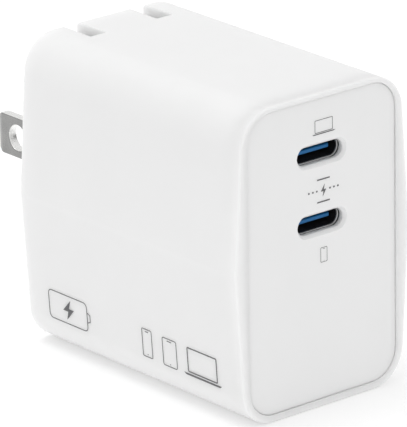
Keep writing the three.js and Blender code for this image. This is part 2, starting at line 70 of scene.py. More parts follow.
# Light and floor
WORLD_STRENGTH = 0.81
TOP_LIGHT_PLACE = (-0.08, 0.1, 0.6)
TOP_LIGHT_SIZE, TOP_LIGHT_POWER = 0.4, 1.1
FLOOR_REACH = 3
FLOOR_DROP = 0.02 * MM
FLOOR_GLOW = 0.26

# Housing details
LEAN = 1.6 * MM
TILT = math.atan(LEAN / (HEIGHT / 2))  # lean of the side facets
CREST = 4.0 * MM  # rounding along the side crease
CORNER = 5.8 * MM
REAR_FILLET = 0.8 * MM
FRONT_FILLET = 0.35 * MM
SEAM = 0.05 * MM
LIP = 0.13 * MM
REAR_WALL = 1.6 * MM
CAVITY_HALF = 14.0 * MM
CAVITY_CORNER = 4.0 * MM
WALL = 1.8 * MM
SLOT_WIDTH = 2.9 * MM
SLOT_DEPTH = 6.9 * MM
SLOT_RIM = 0.25 * MM
SLOT_FOOT_GAP = 0.3 * MM  # under the hub
OVERCUT = 2 * MM  # cutters' reach past the rear and top, and each way from a blade's middle

# Front panel details
PANEL_CORNER = 4.5 * MM
PANEL_PLATE = 1.8 * MM
PANEL_EDGE = 0.15 * MM
PANEL_SEAT_GAP = 0.3 * MM
OPENING_WIDTH, OPENING_HEIGHT = 8.6 * MM, 2.8 * MM
OPENING_DEPTH = 1.2 * MM
FLARE_WIDTH, FLARE_DEPTH = 0.42 * MM, 0.5 * MM
FLARE_OVERCUT = 0.1 * MM
POCKET_GAP = 0.3 * MM  # round the shell, behind the opening

# Socket details
PLACES = ("upper", "lower")
SHELL_WALL = 0.3 * MM
# The thin black cup sized here is painted shade: it stands in for the shadow deep inside each socket.
SHADE_CUP_WALL = 0.06 * MM
SHADE_CUP_GAP = 0.01 * MM
SHADE_CUP_SETBACK = 0.25 * MM
SHADE_CUP_BACK_GAP = 0.05 * MM
SHADE_CUP_BASE = 1.2 * MM
TONGUE_HALF_WIDTH, TONGUE_HALF_HEIGHT = 3.35 * MM, 0.35 * MM
TONGUE_ROOT = 1.9 * MM  # the thicker root starts this far from the shell's back
ROOT_HALF_HEIGHT, ROOT_STEP = 0.6 * MM, 0.2 * MM
CONTACTS = 12
LONG_CONTACTS = (0, 3, 8, 11)
CONTACT_PITCH, CONTACT_HALF_WIDTH, CONTACT_SKIN = 0.5 * MM, 0.13 * MM, 0.012 * MM

# Prong details
BLADE_EDGE = 0.14 * MM
TANG_HALF = 1.4 * MM
SHOULDER = 1.6 * MM  # from the pivot
HOLE_DISTANCE, HOLE_RADIUS, HOLE_RIM = 12.2 * MM, 2.05 * MM, 0.16 * MM
# Distance from the tip, and how far the section draws in across and up there, in mm
TIP_TAPER = ((1.25, 0, 0), (0.95, 0.04, 0.05), (0.14, 0.36, 0.5), (0, 0.48, 0.64))
HUB_HALF_WIDTH, JOURNAL_RADIUS, BAR_RADIUS, HUB_SOFT = 1.25 * MM, 1.8 * MM, 1.6 * MM, 0.25 * MM
HUB_CUT = 5 * MM
BLADE_SEAT_HALF, BLADE_SEAT_STEP, BLADE_FIT = 1.5 * MM, 1.5 * MM, 0.08 * MM
ROUND_SIDES = 64

# Printed symbols, in mm: x and y of the foot's middle, width, height and line width.
# A laptop's height is its screen's, and the filled bolt has no line.
# On the side, x is minus the distance behind the front.
FRONT_LAPTOP = (0.15, 41.55, 4.3, 1.95, 0.085)
FRONT_PHONE = (0.0, 22.15, 1.2, 2.2, 0.07)
SIDE_LAPTOP = (-9.0, 5.2, 8.4, 3.95, 0.19)
SIDE_TABLET = (-16.3, 5.35, 3.1, 4.35, 0.13)
SIDE_PHONE = (-21.4, 5.45, 2.15, 4.35, 0.13)
SIDE_BATTERY = (-39.4, 5.4, 9.6, 4.5, 0.14)
FRONT_BOLT = (0.0, 32.1, 1.2, 1.9)
# Bars and dots between the sockets; DOT_REACHES is in mm
BAR_HEIGHTS, BAR_HALF, BAR_LINE = (34.75 * MM, 31.35 * MM), 1.2 * MM, 0.2 * MM
DOT_REACHES, DOT_HEIGHT, DOT_RADIUS = (1.25, 2.0, 2.75), 33.1 * MM, 0.15 * MM
INK = 0.02 * MM
PRINT_X = 0.25 * MM


# ---------------------------------------------------------------- camera, lights and floor

def make_camera():
    data = bpy.data.cameras.new("camera")
    data.lens = LENS
    data.sensor_width = SENSOR
    camera = bpy.data.objects.new("camera", data)
    bpy.context.scene.collection.objects.link(camera)
    azimuth, elevation, roll = (math.radians(a) for a in (AZIMUTH, ELEVATION, ROLL))
    level = math.cos(elevation)
    back = Vector((math.sin(azimuth) * level, -math.cos(azimuth) * level, math.sin(elevation)))
    turn = (-back).to_track_quat("-Z", "Y").to_matrix() @ Matrix.Rotation(roll, 3, "Z")
    camera.matrix_world = Matrix.Translation(TARGET + back * DISTANCE) @ turn.to_4x4()
    data.clip_start, data.clip_end = 0.01, 10.0
    bpy.context.scene.camera = camera


def make_light(name, place, aim, size, power):
    data = bpy.data.lights.new(name, "AREA")
    data.shape = "SQUARE"
    data.size = size
    data.energy = power
    light = bpy.data.objects.new(name, data)
    light.location = place
    light.rotation_euler = (Vector(aim) - Vector(place)).to_track_quat("-Z", "Y").to_euler()
    bpy.context.scene.collection.objects.link(light)


def make_stage():
    world = bpy.data.worlds.new("studio")
    bpy.context.scene.world = world
    world.use_nodes = True
    world.node_tree.nodes["Background"].inputs["Color"].default_value = (1.0, 1.0, 1.0, 1.0)
    world.node_tree.nodes["Background"].inputs["Strength"].default_value = WORLD_STRENGTH
    bpy.context.scene.view_settings.view_transform = "Standard"
    middle = (0, 0, HEIGHT / 2)
    make_light("top_light", TOP_LIGHT_PLACE, middle, TOP_LIGHT_SIZE, TOP_LIGHT_POWER)
    far = FLOOR_REACH
    floor = loft_object("floor", [[(-far, -far, 0.0), (far, -far, 0.0), (far, far, 0.0), (-far, far, 0.0)]])
    floor.data.materials.append(floor_material())
    floor.location.z = -FLOOR_DROP


# ---------------------------------------------------------------- mesh helpers

def new_object(name, mesh):
    obj = bpy.data.objects.new(name, mesh)
    bpy.context.scene.collection.objects.link(obj)
    return obj


def object_from(name, bm):
    bmesh.ops.recalc_face_normals(bm, faces=bm.faces)
    mesh = bpy.data.meshes.new(name)
    bm.to_mesh(mesh)
    bm.free()
    return new_object(name, mesh)


def loft(bm, rings, closed=False):
    """Skins rings of points that all have the same count; ends are capped unless it closes on itself."""
    rows = [[bm.verts.new(point) for point in ring] for ring in rings]
    pairs = list(zip(rows, rows[1:]))
    if closed:
        pairs.append((rows[-1], rows[0]))
    for a, b in pairs:
        for i in range(len(a)):
            j = (i + 1) % len(a)
            bm.faces.new((a[i], a[j], b[j], b[i]))
    if not closed:
        bm.faces.new(rows[0][::-1])
        if len(rows) > 1:
            bm.faces.new(rows[-1])


def loft_object(name, rings, closed=False):
    bm = bmesh.new()
    loft(bm, rings, closed)
    return object_from(name, bm)


def box_object(name, low, high):
    x0, y0, z0 = low
    x1, y1, z1 = high
    rings = [[(x0, y0, z), (x1, y0, z), (x1, y1, z), (x0, y1, z)] for z in (z0, z1)]
    return loft_object(name, rings)


def cut_out(obj, cutters):
    """Subtracts the cutters from the object, applies the result and removes them."""
    for cutter in cutters:
        modifier = obj.modifiers.new("cut", "BOOLEAN")
        modifier.operation = "DIFFERENCE"
        modifier.solver = "EXACT"
        modifier.object = cutter
    bpy.context.view_layer.update()
    evaluated = obj.evaluated_get(bpy.context.evaluated_depsgraph_get())
    mesh = bpy.data.meshes.new_from_object(evaluated)
    obj.modifiers.clear()
    old = obj.data
    obj.data = mesh
    bpy.data.meshes.remove(old)
    for cutter in cutters:
        bpy.data.objects.remove(cutter)


def bevel_edges(obj, chosen, width, segments=3):
    """Rounds the sharp edges for which chosen(point) is true at both ends."""
    bm = bmesh.new()
    bm.from_mesh(obj.data)
    bmesh.ops.remove_doubles(bm, verts=bm.verts, dist=0.0005 * MM)
    sharp = [
        edge for edge in bm.edges
        if len(edge.link_faces) == 2
        and edge.calc_face_angle() > math.radians(40)
        and all(chosen(vert.co) for vert in edge.verts)
    ]
    bmesh.ops.bevel(
        bm,
        geom=sharp,
        offset=width,
        offset_type="OFFSET",
        segments=segments,
        profile=0.5,
        affect="EDGES",
        clamp_overlap=True,
    )
    bm.to_mesh(obj.data)
    bm.free()


def shade(obj, angle=35):
    """Smooth shading that keeps real edges, with flat faces kept flat."""
    obj.data.shade_smooth()
    obj.data.set_sharp_from_angle(angle=math.radians(angle))
    modifier = obj.modifiers.new("normals", "WEIGHTED_NORMAL")
    modifier.keep_sharp = True
    modifier.weight = 60


def finish_piece(obj, body, slot, nodes=(), angle=35):
    shade(obj, angle)
    obj.data.materials.clear()
    obj.data.materials.append(material_for(slot))
    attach(obj, body)
    if nodes:
        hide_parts(*nodes)
    return obj


# ---------------------------------------------------------------- outlines

CREST_STEPS, SIDE_STEPS, CORNER_STEPS, TOP_STEPS = 3, 4, 16, 4


def section(half, tilt, low, high, radius):
    """Section in XZ: flat top and bottom, round corners, sides that lean in from mid-height."""
    middle = (low + high) / 2
    rise = high - radius - middle  # from mid-height to the corner's centre
    centre_x = half - (radius + rise * math.sin(tilt)) / math.cos(tilt)
    quarter = []
    for i in range(CREST_STEPS + 1):
        z = CREST * math.sin(TILT) * i / CREST_STEPS
        inset = CREST - math.sqrt(CREST * CREST - z * z) if tilt else 0.0
        quarter.append((half - inset, z))
    corner = [
        (centre_x + radius * math.cos(a), rise + radius * math.sin(a))
        for a in (tilt + (math.pi / 2 - tilt) * i / CORNER_STEPS for i in range(CORNER_STEPS + 1))
    ]
    (x0, z0), (x1, z1) = quarter[-1], corner[0]
    for i in range(1, SIDE_STEPS):
        t = i / SIDE_STEPS
        quarter.append((x0 + (x1 - x0) * t, z0 + (z1 - z0) * t))
    quarter += corner
    x2, z2 = corner[-1]
    quarter += [(x2 * (1 - i / TOP_STEPS), z2) for i in range(1, TOP_STEPS + 1)]
    ring = quarter + [(-x, z) for x, z in reversed(quarter[:-1])]
    ring += [(-x, -z) for x, z in quarter[1:]] + [(x, -z) for x, z in reversed(quarter[1:-1])]
    return [(x, middle + z) for x, z in ring]


def housing_ring(y, inset=0.0):
    lean = inset / math.cos(TILT)
    points = section(CREASE - lean, TILT, inset, HEIGHT - inset, CORNER - inset)
    return [(x, y, z) for x, z in points]


def cavity_ring(y):
    points = section(CAVITY_HALF, TILT * 0.5, WALL, HEIGHT - WALL, CAVITY_CORNER)
    return [(x, y, z) for x, z in points]


def panel_ring(y, outset=0.0):
    points = section(
        PANEL_HIGH.x + outset,
        0.0,
        PANEL_LOW.z - outset,
        PANEL_HIGH.z + outset,
        PANEL_CORNER + outset,
    )
    return [(x, y, z) for x, z in points]


def quarter_turn(steps):
    return [math.pi / 2 * i / steps for i in range(steps + 1)]


def full_turn(steps=ROUND_SIDES):
    return [2 * math.pi * i / steps for i in range(steps)]


def racetrack_ring(width, height, y, centre_z, steps=14, outset=0.0):
    """A socket's outline in XZ: two half rounds joined by straight lines."""
    radius = height / 2 + outset
    reach = width / 2 - height / 2
    ring = []
    for side, start in ((1, -math.pi / 2), (-1, math.pi / 2)):
        for i in range(steps + 1):
            a = start + math.pi * i / steps
            ring.append((side * reach + radius * math.cos(a), y, centre_z + radius * math.sin(a)))
    return ring


def bar_ring(half_x, half_z, centre, radius, steps=3):
    """Round-cornered rectangle in XZ, centred on a point."""
    ring = []
    for i, (sx, sz) in enumerate(((1, 1), (-1, 1), (-1, -1), (1, -1))):
        for k in range(steps + 1):
            a = math.pi / 2 * (i + k / steps)
            x = sx * (half_x - radius) + radius * math.cos(a)
            z = sz * (half_z - radius) + radius * math.sin(a)
            ring.append((centre[0] + x, centre[1], centre[2] + z))
    return ring


# ---------------------------------------------------------------- housing and front panel

def build_housing():
    ledge = PANEL_LOW.y + PANEL_PLATE + PANEL_SEAT_GAP
    rings = [cavity_ring(REAR - REAR_WALL), cavity_ring(ledge), panel_ring(ledge, SEAM)]
    rings += [
        panel_ring(FRONT + LIP * (1 - math.sin(a)), SEAM + LIP * (1 - math.cos(a)))
        for a in quarter_turn(4)
    ]
    rings += [
        housing_ring(FRONT + FRONT_FILLET * (1 - math.cos(a)), FRONT_FILLET * (1 - math.sin(a)))
        for a in quarter_turn(6)
    ]
    rings += [
        housing_ring(REAR - REAR_FILLET * (1 - math.sin(a)), REAR_FILLET * (1 - math.cos(a)))
        for a in quarter_turn(8)
    ]
    housing = loft_object("housing_shell", rings)
    slot_low = PIVOT_Z - (HUB_HIGH.z - PIVOT_Z) - SLOT_FOOT_GAP
    slot_front = REAR - SLOT_DEPTH
    half = SLOT_WIDTH / 2
    cutters = [
        box_object(
            "slot_cutter",
            (side * BLADE_X - half, slot_front, slot_low),
            (side * BLADE_X + half, REAR + OVERCUT, HEIGHT + OVERCUT),
        )
        for side in (-1, 1)
    ]
    cut_out(housing, cutters)
    close = 0.001 * MM

    def on_rim(point):
        x = abs(abs(point.x) - BLADE_X)
        in_slot = x < half + close and point.y > slot_front - close and point.z > slot_low - close
        on_wall = (
            abs(x - half) < close
            or abs(point.y - slot_front) < close
            or abs(point.z - slot_low) < close
        )
        y = point.y - (REAR - REAR_FILLET)
        z = point.z - (HEIGHT - REAR_FILLET)
        outside = (
            abs(point.z - HEIGHT) < close
            or abs(point.y - REAR) < close
            or (y > 0 and z > 0 and math.hypot(y, z) > REAR_FILLET * 0.98)
        )
        return in_slot and on_wall and outside

    bevel_edges(housing, on_rim, SLOT_RIM)
    return finish_piece(housing, "root", "housing_white", ["housing"])


def build_panel():
    front = PANEL_LOW.y
    back = front + PANEL_PLATE
    rings = [panel_ring(back, 0.0)]
    rings += [
        panel_ring(front + PANEL_EDGE * (1 - math.sin(a)), -PANEL_EDGE * (1 - math.cos(a)))
        for a in quarter_turn(5)
    ]
    panel = loft_object("front_face", rings)
    low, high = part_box("usb_shell_upper")
    shell_width, shell_height = high.x - low.x, high.z - low.z
    flare = FLARE_WIDTH * (1 + FLARE_OVERCUT / FLARE_DEPTH)
    cutters = []
    for place in PLACES:
        low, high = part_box(f"usb_shell_{place}")
        z = (low.z + high.z) / 2
        cutters.append(loft_object("cutter", [
            racetrack_ring(OPENING_WIDTH, OPENING_HEIGHT, y, z, 24, outset)
            for y, outset in (
                (front - FLARE_OVERCUT, flare), (front + FLARE_DEPTH, 0.0), (back + MM, 0.0),
            )
        ]))
        cutters.append(loft_object("cutter", [
            racetrack_ring(shell_width, shell_height, y, z, 24, POCKET_GAP)
            for y in (front + OPENING_DEPTH, back + MM)
        ]))
    cut_out(panel, cutters)
    return finish_piece(panel, "root", "panel_white", ["front_panel"], 20)


# ---------------------------------------------------------------- sockets

def socket_span(place):
    """The shell's width, height, mouth, back and mid-height."""
    low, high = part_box(f"usb_shell_{place}")
    return high.x - low.x, high.z - low.z, low.y, high.y, (low.z + high.z) / 2


def build_shell(place):
    width, height, mouth, back, z = socket_span(place)
    lip = SHELL_WALL / 2
    rings = [racetrack_ring(width, height, back, z)]
    rings += [
        racetrack_ring(width, height, mouth + lip * (1 - math.sin(a)), z, outset=-lip * (1 - math.cos(a)))
        for a in quarter_turn(3)
    ]
    rings += [
        racetrack_ring(
            width, height, mouth + lip * (1 - math.cos(a)), z, outset=-lip * (1 + math.sin(a)),
        )
        for a in quarter_turn(3)[1:]
    ]
    rings.append(racetrack_ring(width, height, back, z, outset=-SHELL_WALL))
    shell = loft_object(f"socket_shell_{place}", rings, closed=True)
    finish_piece(shell, "root", "socket_steel", [f"usb_shell_{place}"])


def build_painted_shade_cup(place):
    """A thin dark cup inside the shell: painted shade, a black sheet that stands in for the shadow deep
    inside the socket.
    """
    width, height, mouth, back, z = socket_span(place)
    outer = SHELL_WALL + SHADE_CUP_GAP
    inner = outer + SHADE_CUP_WALL
    front = mouth + SHADE_CUP_SETBACK
    shade_cup = loft_object(f"socket_painted_shade_{place}", [
        racetrack_ring(width, height, back - SHADE_CUP_BACK_GAP, z, outset=-outer),
        racetrack_ring(width, height, front + SHADE_CUP_WALL, z, outset=-outer),
        racetrack_ring(width, height, front, z, outset=-inner),
        racetrack_ring(width, height, back - SHADE_CUP_BASE, z, outset=-inner),
    ])
    finish_piece(shade_cup, "root", "moulded_black")


def build_tongue(place):
    back, z = socket_span(place)[3:]
    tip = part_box(f"usb_tongue_{place}")[0].y
    root = back - TONGUE_ROOT
    half_x, half_z = TONGUE_HALF_WIDTH, TONGUE_HALF_HEIGHT
    stations = [
        (tip, half_x - 0.25 * MM, 0.2 * MM),
        (tip + 0.12 * MM, half_x - 0.1 * MM, 0.3 * MM),
        (tip + 0.3 * MM, half_x, half_z),
        (root, half_x, half_z),
        (root + 0.15 * MM, half_x + ROOT_STEP, ROOT_HALF_HEIGHT),
        (back - SHADE_CUP_BASE + 0.1 * MM, half_x + ROOT_STEP, ROOT_HALF_HEIGHT),
    ]
    tongue = loft_object(f"socket_tongue_{place}", [
        bar_ring(wide, tall, (0.0, y, z), tall * 0.45) for y, wide, tall in stations
    ])
    finish_piece(tongue, "root", "tongue_blue", [f"usb_tongue_{place}"])


def build_contacts(place):
    """The thin contact strips on both faces of the tongue."""
    back, z = socket_span(place)[3:]
    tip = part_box(f"usb_tongue_{place}")[0].y
    skin = CONTACT_SKIN
    bm = bmesh.new()
    for side in (-1, 1):
        for i in range(CONTACTS):
            x = (i - (CONTACTS - 1) / 2) * CONTACT_PITCH
            start = tip + (0.55 if i in LONG_CONTACTS else 0.8) * MM
            surface = side * TONGUE_HALF_HEIGHT
            loft(bm, [
                bar_ring(CONTACT_HALF_WIDTH, skin, (x, y, z + surface), skin * 0.3, 1)
                for y in (start, back - TONGUE_ROOT)
            ])
    pads = object_from(f"socket_contacts_{place}", bm)
    finish_piece(pads, "root", "spring_bronze")


# ---------------------------------------------------------------- prongs

def build_blade(side, name):
    x = side * BLADE_X
    half_x = (BLADE_HIGH.x - BLADE_LOW.x) / 2
    half_z = (BLADE_HIGH.z - BLADE_LOW.z) / 2
    tip = BLADE_HIGH.y
    shoulder = PIVOT_Y + SHOULDER
    stations = [
        (BLADE_LOW.y, half_x, TANG_HALF),
        (shoulder, half_x, TANG_HALF),
        (shoulder, half_x, half_z),
    ]
    stations += [
        (tip - back * MM, half_x - across * MM, half_z - up * MM) for back, across, up in TIP_TAPER
    ]
    rings = [bar_ring(w, h, (x, y, PIVOT_Z), BLADE_EDGE, 4) for y, w, h in stations]
    blade = loft_object(f"prong_{name}", rings)
    hole_y = REAR + HOLE_DISTANCE
    cutter = loft_object("cutter", [
        [
            (end, hole_y + HOLE_RADIUS * math.cos(a), PIVOT_Z + HOLE_RADIUS * math.sin(a))
            for a in full_turn()
        ]
        for end in (x - OVERCUT, x + OVERCUT)
    ])
    cut_out(blade, [cutter])
    close = 0.002 * MM

    def on_rim(point):
        return abs(math.hypot(point.y - hole_y, point.z - PIVOT_Z) - HOLE_RADIUS) < close

    bevel_edges(blade, on_rim, HOLE_RIM)
    return finish_piece(blade, "prongs", "prong_nickel", [f"blade_{name}"])


def build_hub():
    """The moulded shaft: journals, a round hub behind each blade, and the bar between them."""
    hub = (HUB_HIGH.z - HUB_LOW.z) / 2
    journal, soft = JOURNAL_RADIUS, HUB_SOFT
    inner, outer, end = BLADE_X - HUB_HALF_WIDTH, BLADE_X + HUB_HALF_WIDTH, HUB_HIGH.x
    right = [(0.0, BAR_RADIUS), (inner, BAR_RADIUS)]
    right += [
        (inner + soft * (1 - math.cos(a)), hub - soft * (1 - math.sin(a))) for a in quarter_turn(4)
    ]
    right += [
        (outer - soft * (1 - math.sin(a)), hub - soft * (1 - math.cos(a))) for a in quarter_turn(4)
    ]
    right += [(outer, journal), (end - soft, journal), (end, journal - soft)]
    profile = [(-x, r) for x, r in reversed(right[1:])] + right
    carrier = loft_object("prong_hub", [
        [(x, PIVOT_Y + r * math.cos(a), PIVOT_Z + r * math.sin(a)) for a in full_turn()]
        for x, r in profile
    ])
    cutters = []
    wall = (BLADE_HIGH.x - BLADE_LOW.x) / 2 + BLADE_FIT
    for side in (-1, 1):
        x0, x1 = side * BLADE_X - wall, side * BLADE_X + wall
        step = PIVOT_Y + BLADE_SEAT_STEP
        cutters.append(box_object(
            "cutter",
            (x0, PIVOT_Y - HUB_CUT, PIVOT_Z - BLADE_SEAT_HALF),
            (x1, step + 0.05 * MM, PIVOT_Z + BLADE_SEAT_HALF),
        ))
        cutters.append(box_object(
            "cutter",
            (x0, step, PIVOT_Z - HUB_CUT),
            (x1, PIVOT_Y + HUB_CUT, PIVOT_Z + HUB_CUT),
        ))
    cut_out(carrier, cutters)
    return finish_piece(carrier, "prongs", "hub_grey", ["prong_carrier"])


# ---------------------------------------------------------------- printed symbols

def stroke(bm, points, width, place, closed=False):
    """A printed line through 2-D points, with mitred corners and a little thickness."""
    count = len(points)
    left, right = [], []
    for i, point in enumerate(points):
        here = Vector(point)
        before = Vector(points[i - 1]) if closed or i > 0 else None
        after = Vector(points[(i + 1) % count]) if closed or i < count - 1 else None
        dirs = []
        if before is not None:
            dirs.append((here - before).normalized())
        if after is not None:
            dirs.append((after - here).normalized())
        along = sum(dirs, Vector((0, 0))).normalized()
        normal = Vector((-along.y, along.x))
        across = Vector((-dirs[0].y, dirs[0].x))
        reach = width / 2 / max(0.5, normal.dot(across))
        left.append(here + normal * reach)
        right.append(here - normal * reach)
    levels = [(left, -1), (left, 1), (right, 1), (right, -1)]
    tracks = [[bm.verts.new(place(p.x, p.y, INK * level)) for p in track] for track, level in levels]
    last = count if closed else count - 1
    for a, b in zip(tracks, tracks[1:] + tracks[:1]):
        for i in range(last):
            j = (i + 1) % count
            bm.faces.new((a[i], a[j], b[j], b[i]))
    if not closed:
        bm.faces.new([track[0] for track in tracks])
        bm.faces.new([track[-1] for track in tracks][::-1])


def in_metres(sizes):
    return [size * MM for size in sizes]


def filled(bm, points, place):
    """A printed patch with the given outline."""
    loft(bm, [[place(x, y, INK * level) for x, y in points] for level in (-1, 1)])


def round_box(x0, x1, y0, y1, radius, steps=4):
    corners = ((x1, y1), (x0, y1), (x0, y0), (x1, y0))
    points = []
    for i, (x, y) in enumerate(corners):
        sx, sy = (1 if x == x1 else -1), (1 if y == y1 else -1)
        for k in range(steps + 1):
            a = math.pi / 2 * (i + k / steps)
            centre_x, centre_y = x - sx * radius, y - sy * radius
            points.append((centre_x + radius * math.cos(a), centre_y + radius * math.sin(a)))
    return points


def phone_symbol(bm, place, x, y, width, height, line):
    stroke(bm, round_box(x - width / 2, x + width / 2, y, y + height, width * 0.1), line, place, True)
    top = y + height - 0.09 * height
    stroke(bm, [(x - width * 0.16, top), (x + width * 0.16, top)], line, place)
    dot = line * 0.7
    filled(bm, round_box(x - dot, x + dot, y + line * 2.2, y + line * 3.2, dot * 0.4), place)


def laptop_symbol(bm, place, x, y, width, screen, line):
    """A laptop seen from the front; width is its base's."""
    foot = screen * 0.13
    half = width * 0.385
    body = round_box(x - half, x + half, y + foot * 1.35, y + foot + screen, width * 0.02)
    stroke(bm, body, line, place, True)
    base = [
        (x - width * 0.45, y + foot * 0.2),
        (x + width * 0.45, y + foot * 0.2),
        (x + width / 2, y + foot * 0.75),
        (x - width / 2, y + foot * 0.75),
    ]
    filled(bm, base, place)


def bolt_points(x, y, width, height):
    """A plain lightning bolt, anticlockwise from its foot."""
    shape = [(0.38, 0.0), (0.95, 0.56), (0.56, 0.56), (0.72, 1.0), (0.1, 0.42), (0.5, 0.42)]
    return [(x + (u - 0.5) * width, y + v * height) for u, v in shape]


def battery_symbol(bm, place, x, y, width, height, line):
    tip = width * 0.07
    right = x + width / 2 - tip
    case = round_box(x - width / 2, right, y, y + height, height * 0.16)
    stroke(bm, case, line, place, True)
    nub = [(right, y + height * 0.68), (right + tip, y + height * 0.62)]
    nub += [(right + tip, y + height * 0.38), (right, y + height * 0.32)]
    stroke(bm, nub, line, place)
    bolt = bolt_points(x - tip / 2, y + height * 0.14, height * 0.66, height * 0.72)
    filled(bm, bolt, place)


def build_front_print():
    front = PANEL_LOW.y

    def place(u, v, lift):
        return (PRINT_X + u, front - lift, v)

    bm = bmesh.new()
    laptop_symbol(bm, place, *in_metres(FRONT_LAPTOP))
    for z in BAR_HEIGHTS:
        stroke(bm, [(-BAR_HALF, z), (BAR_HALF, z)], BAR_LINE, place)
    filled(bm, bolt_points(*in_metres(FRONT_BOLT)), place)
    for side in (-1, 1):
        for step in DOT_REACHES:
            x, z, r = side * step * MM, DOT_HEIGHT, DOT_RADIUS
            filled(bm, round_box(x - r, x + r, z - r, z + r, r * 0.99), place)
    phone_symbol(bm, place, *in_metres(FRONT_PHONE))
    return finish_piece(object_from("front_print", bm), "root", "print_grey")


def build_side_print():
    """Symbols on the lower facet of the left side, read from that side."""
    def place(u, v, lift):
        reach = CREASE - (HEIGHT / 2 - v) * math.tan(TILT) + lift * math.cos(TILT)
        return (-reach, FRONT + u, v - lift * math.sin(TILT))

    def mirrored(u, v, lift):
        return place(-u, v, lift)

    bm = bmesh.new()
    laptop_symbol(bm, mirrored, *in_metres(SIDE_LAPTOP))
    phone_symbol(bm, mirrored, *in_metres(SIDE_TABLET))
    phone_symbol(bm, mirrored, *in_metres(SIDE_PHONE))
    battery_symbol(bm, mirrored, *in_metres(SIDE_BATTERY))
    return finish_piece(object_from("side_print", bm), "root", "print_grey")


# ---------------------------------------------------------------- materials

class Shader:
    """A Principled material with helpers for its procedural inputs."""

    def __init__(self, name):
        self.material = bpy.data.materials.new(name)
        self.material.use_nodes = True
        self.tree = self.material.node_tree
        self.tree.nodes.clear()
        self.bsdf = self.node("ShaderNodeBsdfPrincipled")
        output = self.node("ShaderNodeOutputMaterial")
        self.link(self.bsdf.outputs["BSDF"], output.inputs["Surface"])
        coords = self.node("ShaderNodeTexCoord")
        self.coord = coords.outputs["Object"]
        self.normal = coords.outputs["Normal"]

    def node(self, kind):
        return self.tree.nodes.new(kind)

    def link(self, source, target):
        self.tree.links.new(source, target)

    def noise(self, size, detail=3.0, stretch=(1, 1, 1)):
        """Noise whose grain is about size metres across."""
        mapping = self.node("ShaderNodeMapping")
        mapping.inputs["Scale"].default_value = stretch
        self.link(self.coord, mapping.inputs["Vector"])
        noise = self.node("ShaderNodeTexNoise")
        noise.inputs["Scale"].default_value = 1.0 / size
        noise.inputs["Detail"].default_value = detail
        self.link(mapping.outputs["Vector"], noise.inputs["Vector"])
        return noise.outputs["Fac"]

    def ramp(self, factor, low, high):
        """Maps the middle of a noise to the range low to high."""
        node = self.node("ShaderNodeMapRange")
        node.inputs["From Min"].default_value = 0.3
        node.inputs["From Max"].default_value = 0.7
        node.inputs["To Min"].default_value = low
        node.inputs["To Max"].default_value = high
        self.link(factor, node.inputs["Value"])
        return node.outputs["Result"]

    def colour(self, factor, low, high):
        node = self.node("ShaderNodeMix")
        node.data_type = "RGBA"
        for socket in node.inputs:
            if socket.identifier == "A_Color":
                socket.default_value = (*low, 1)
            if socket.identifier == "B_Color":
                socket.default_value = (*high, 1)
        self.link(factor, node.inputs["Factor"])
        result = [s for s in node.outputs if s.identifier == "Result_Color"][0]
        self.link(result, self.bsdf.inputs["Base Color"])

    def roughness(self, factor, low, high):
        self.link(self.ramp(factor, low, high), self.bsdf.inputs["Roughness"])

    def bump(self, layers):
        """Stacks bumps: each layer is (factor, strength, height in metres)."""
        normal = None
        for factor, strength, distance in layers:
            node = self.node("ShaderNodeBump")
            node.inputs["Strength"].default_value = strength
            node.inputs["Distance"].default_value = distance
            self.link(factor, node.inputs["Height"])
            if normal is not None:
                self.link(normal, node.inputs["Normal"])
            normal = node.outputs["Normal"]
        self.link(normal, self.bsdf.inputs["Normal"])


def tint(colour, factor):
    return tuple(min(1.0, c * factor) for c in colour)


def plastic(
    name, colour, rough, grain, spread=0.02, bump=0.006 * MM, coat=0.0, subsurface=0.0, depth=1.2 * MM,
):
    """Moulded plastic: faint cloudiness, a fine eroded grain and a slight long wave."""
    shader = Shader(name)
    cloud = shader.noise(9 * MM, 2.0)
    fine = shader.noise(grain, 4.0)
    shader.colour(cloud, tint(colour, 1 - spread), tint(colour, 1 + spread))
    shader.roughness(fine, rough - 0.05, rough + 0.05)
    shader.bump([(shader.noise(14 * MM, 1.0), 0.25, 0.02 * MM), (fine, 0.5, bump)])
    shader.bsdf.inputs["IOR"].default_value = 1.5
    if coat:
        shader.bsdf.inputs["Coat Weight"].default_value = coat
        shader.bsdf.inputs["Coat Roughness"].default_value = 0.25
    if subsurface:
        shader.bsdf.inputs["Subsurface Weight"].default_value = subsurface
        shader.bsdf.inputs["Subsurface Radius"].default_value = (1.0, 1.0, 1.0)
        shader.bsdf.inputs["Subsurface Scale"].default_value = depth
    return shader.material


def metal(name, colour, rough, stretch, grain=0.08 * MM, spread=0.05, bump=0.002 * MM):
    """Plated or rolled metal; stretch draws its grain out along an axis."""
    shader = Shader(name)
    streaks = shader.noise(grain, 5.0, stretch)
    patches = shader.noise(2.5 * MM, 3.0)
    shader.colour(patches, tint(colour, 1 - spread), tint(colour, 1 + spread))
    shader.roughness(streaks, rough - 0.06, rough + 0.08)
    shader.bump([(streaks, 0.5, bump), (patches, 0.2, bump * 2)])
    shader.bsdf.inputs["Metallic"].default_value = 1.0
    return shader.material


